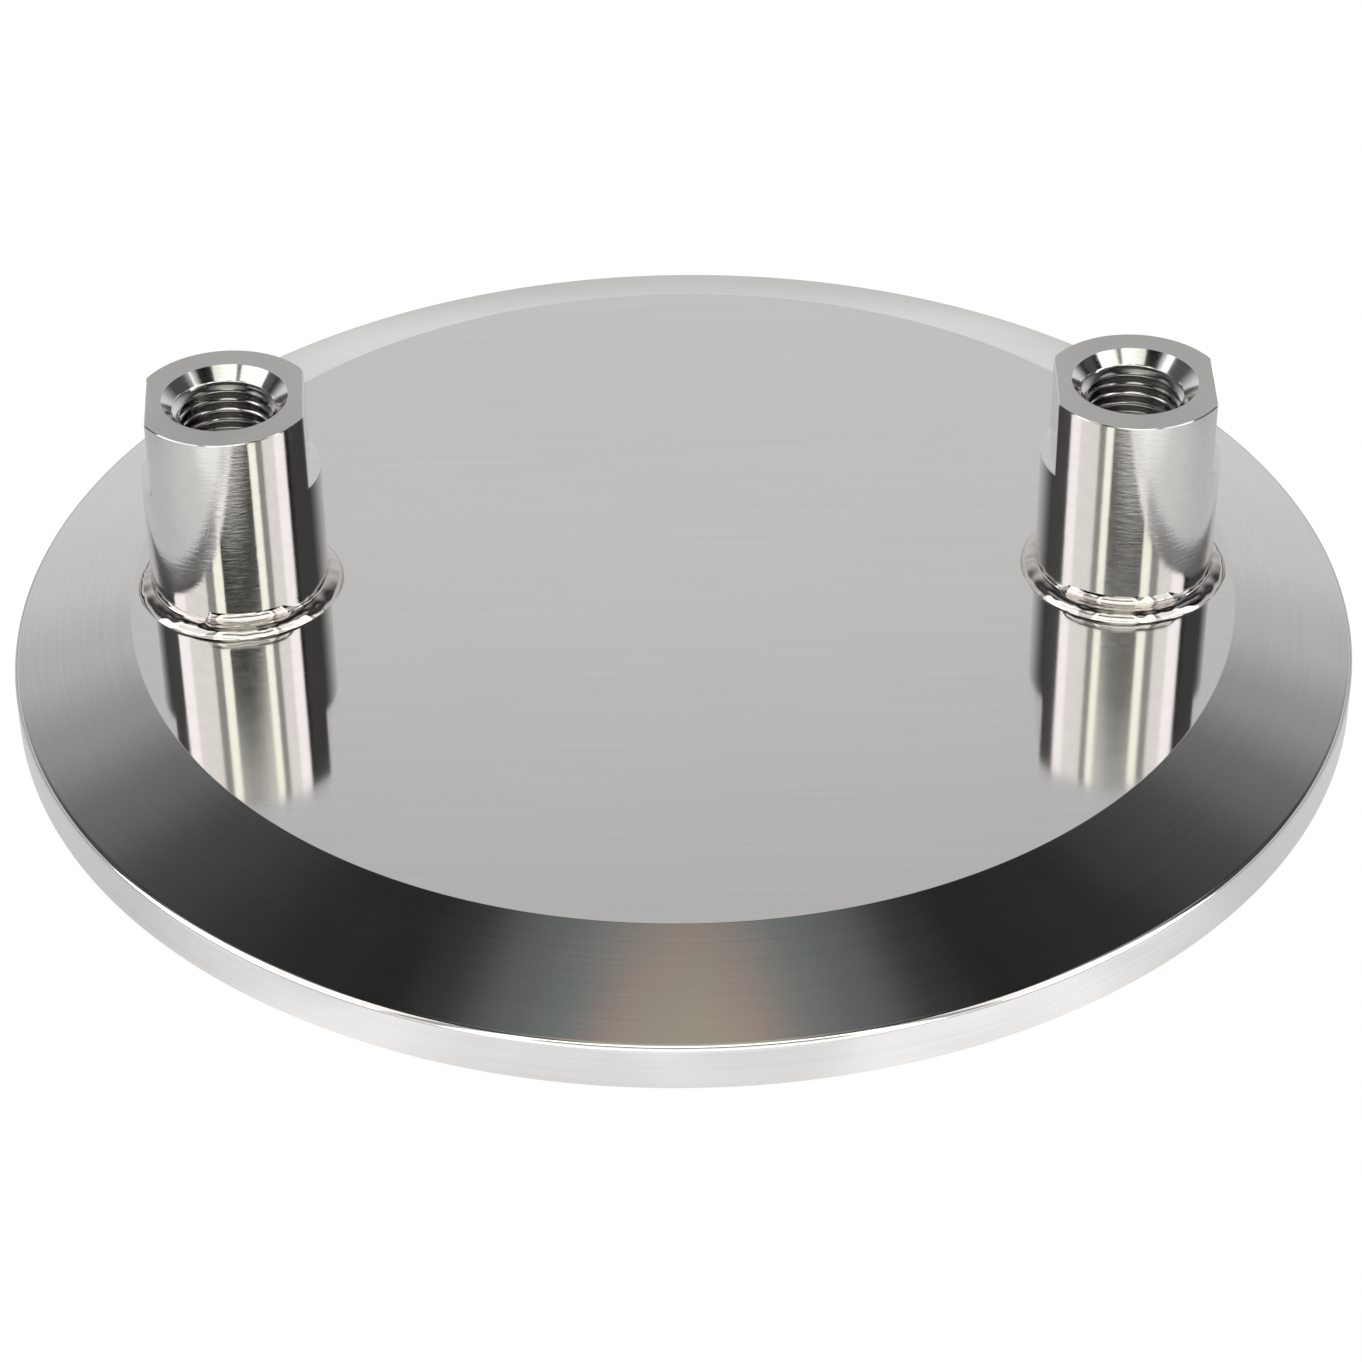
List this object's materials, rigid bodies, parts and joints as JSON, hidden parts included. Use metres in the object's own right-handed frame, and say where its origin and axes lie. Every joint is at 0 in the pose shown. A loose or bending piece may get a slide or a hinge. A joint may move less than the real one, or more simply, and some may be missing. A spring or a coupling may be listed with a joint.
{
  "type": "blind flange",
  "caption": "Round hygienic clamp end cap with a bevelled rim and tapped couplings welded through its flat face, closing a pipe or vessel opening while leaving threaded ports.",
  "frame": {"origin": "centre of the flat sealing face underneath the cap", "axes": "+Z square to the sealing face, towards the couplings; +X through the axis of the right coupling"},
  "size_m": [0.1668, 0.1668, 0.0381],
  "materials": {
    "plate_steel": "stainless steel, finely ground flat faces and a turned rim, bevel and sealing face",
    "coupling_steel": "stainless steel, turned and lightly polished round the bar, faced end, milled flats",
    "weld_steel": "bright as-welded bead with close ripples",
    "dressed_weld_steel": "weld ground flush and polished with the sealing face"
  },
  "bodies": {
    "root": {"cap_plate": "plate_steel", "left_coupling": "coupling_steel", "right_coupling": "coupling_steel", "left_outer_weld": "weld_steel", "right_outer_weld": "weld_steel", "left_root_weld": "dressed_weld_steel", "right_root_weld": "dressed_weld_steel"}
  },
  "joints": []
}
